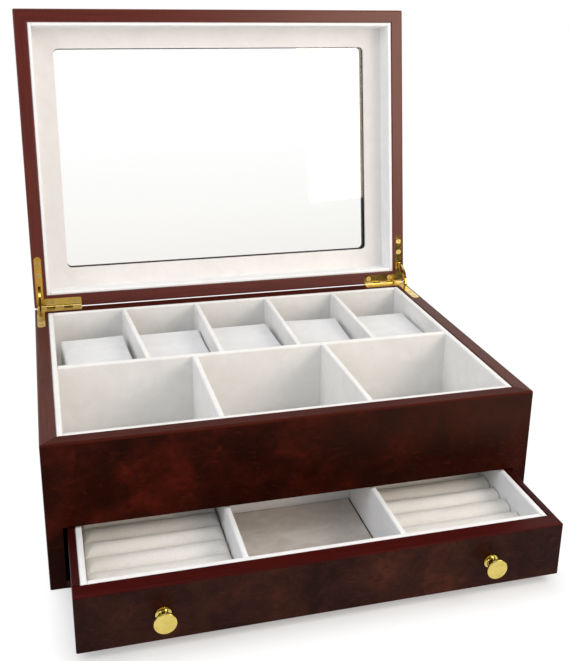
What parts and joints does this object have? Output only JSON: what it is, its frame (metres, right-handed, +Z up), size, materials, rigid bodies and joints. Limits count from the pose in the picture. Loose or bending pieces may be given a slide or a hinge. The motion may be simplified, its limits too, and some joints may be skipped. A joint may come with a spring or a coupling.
{
  "type": "jewelry and watch box",
  "caption": "Dark stained wooden jewelry and watch box with an open glass-top lid, a lined tray of bays with watch pillows and a pulled-out drawer with ring rolls.",
  "frame": {"origin": "middle of the case's underside, where the box stands on a table", "axes": "+Z up, -Y out of the front where the drawer opens, +X to the right seen from the front"},
  "size_m": [0.318, 0.3795, 0.3301],
  "materials": {
    "stained_wood": "semi-gloss lacquer over dark red-brown stain",
    "suede_cloth": "matte napped cloth over board or foam",
    "brass": "polished",
    "window_glass": "clear",
    "screw_steel": "plain"
  },
  "bodies": {
    "case": {"case_front": "stained_wood", "case_back": "stained_wood", "case_left": "stained_wood", "case_right": "stained_wood", "case_base_board": "stained_wood", "tray_floor": "suede_cloth", "tray_lining_front": "suede_cloth", "tray_lining_back": "suede_cloth", "tray_lining_left": "suede_cloth", "tray_lining_right": "suede_cloth", "tray_mid_wall": "suede_cloth", "watch_divider_1": "suede_cloth", "watch_divider_2": "suede_cloth", "watch_divider_3": "suede_cloth", "watch_divider_4": "suede_cloth", "front_divider_1": "suede_cloth", "front_divider_2": "suede_cloth", "hinge_case_leaf_left": "brass", "hinge_case_leaf_right": "brass", "hinge_pins": "brass", "hinge_screws_case": "brass"},
    "lid": {"lid_rail_front": "stained_wood", "lid_rail_back": "stained_wood", "lid_rail_left": "stained_wood", "lid_rail_right": "stained_wood", "lid_top_board": "stained_wood", "lid_glass": "window_glass", "lid_mat": "suede_cloth", "lid_lining_front": "suede_cloth", "lid_lining_back": "suede_cloth", "lid_lining_left": "suede_cloth", "lid_lining_right": "suede_cloth", "hinge_lid_leaf_left": "brass", "hinge_lid_leaf_right": "brass", "hinge_screws_lid": "brass"},
    "drawer": {"drawer_front": "stained_wood", "drawer_side_left": "stained_wood", "drawer_side_right": "stained_wood", "drawer_back": "stained_wood", "drawer_bottom": "stained_wood", "drawer_lining_front": "suede_cloth", "drawer_lining_back": "suede_cloth", "drawer_lining_left": "suede_cloth", "drawer_lining_right": "suede_cloth", "drawer_cross_wall": "suede_cloth", "drawer_divider_left": "suede_cloth", "drawer_divider_right": "suede_cloth", "drawer_floor_pads": "suede_cloth", "ring_rolls_left": "suede_cloth", "ring_rolls_right": "suede_cloth", "drawer_knob_left": "brass", "drawer_knob_right": "brass", "drawer_knob_screws": "screw_steel"},
    "stay_left": {"hinge_stay_left": "brass"},
    "stay_right": {"hinge_stay_right": "brass"},
    "pillow_1": {"watch_pillow_1": "suede_cloth"},
    "pillow_2": {"watch_pillow_2": "suede_cloth"},
    "pillow_3": {"watch_pillow_3": "suede_cloth"},
    "pillow_4": {"watch_pillow_4": "suede_cloth"},
    "pillow_5": {"watch_pillow_5": "suede_cloth"}
  },
  "joints": [
    {"name": "lid_hinge", "type": "hinge", "parent": "case", "child": "lid", "pos_m": [0, 0.117, 0.09915], "axis": [-1, 0, 0], "range_deg": [-98.9, 0]},
    {"name": "stay_left_slide", "type": "hinge", "parent": "case", "child": "stay_left", "pos_m": [0, 0.117, 0.09915], "axis": [-1, 0, 0], "range_deg": [-49.45, 0]},
    {"name": "stay_right_slide", "type": "hinge", "parent": "case", "child": "stay_right", "pos_m": [0, 0.117, 0.09915], "axis": [-1, 0, 0], "range_deg": [-49.45, 0]},
    {"name": "drawer_slide", "type": "slide", "parent": "case", "child": "drawer", "axis": [0, -1, 0], "range_m": [-0.0675, 0.06]},
    {"name": "pillow_1_lift", "type": "slide", "parent": "case", "child": "pillow_1", "axis": [0, 0, 1], "range_m": [0, 0.09]},
    {"name": "pillow_2_lift", "type": "slide", "parent": "case", "child": "pillow_2", "axis": [0, 0, 1], "range_m": [0, 0.09]},
    {"name": "pillow_3_lift", "type": "slide", "parent": "case", "child": "pillow_3", "axis": [0, 0, 1], "range_m": [0, 0.09]},
    {"name": "pillow_4_lift", "type": "slide", "parent": "case", "child": "pillow_4", "axis": [0, 0, 1], "range_m": [0, 0.09]},
    {"name": "pillow_5_lift", "type": "slide", "parent": "case", "child": "pillow_5", "axis": [0, 0, 1], "range_m": [0, 0.09]}
  ],
  "couplings": [
    {"joint": "stay_left_slide", "follows": "lid_hinge", "ratio": 0.5},
    {"joint": "stay_right_slide", "follows": "lid_hinge", "ratio": 0.5}
  ]
}
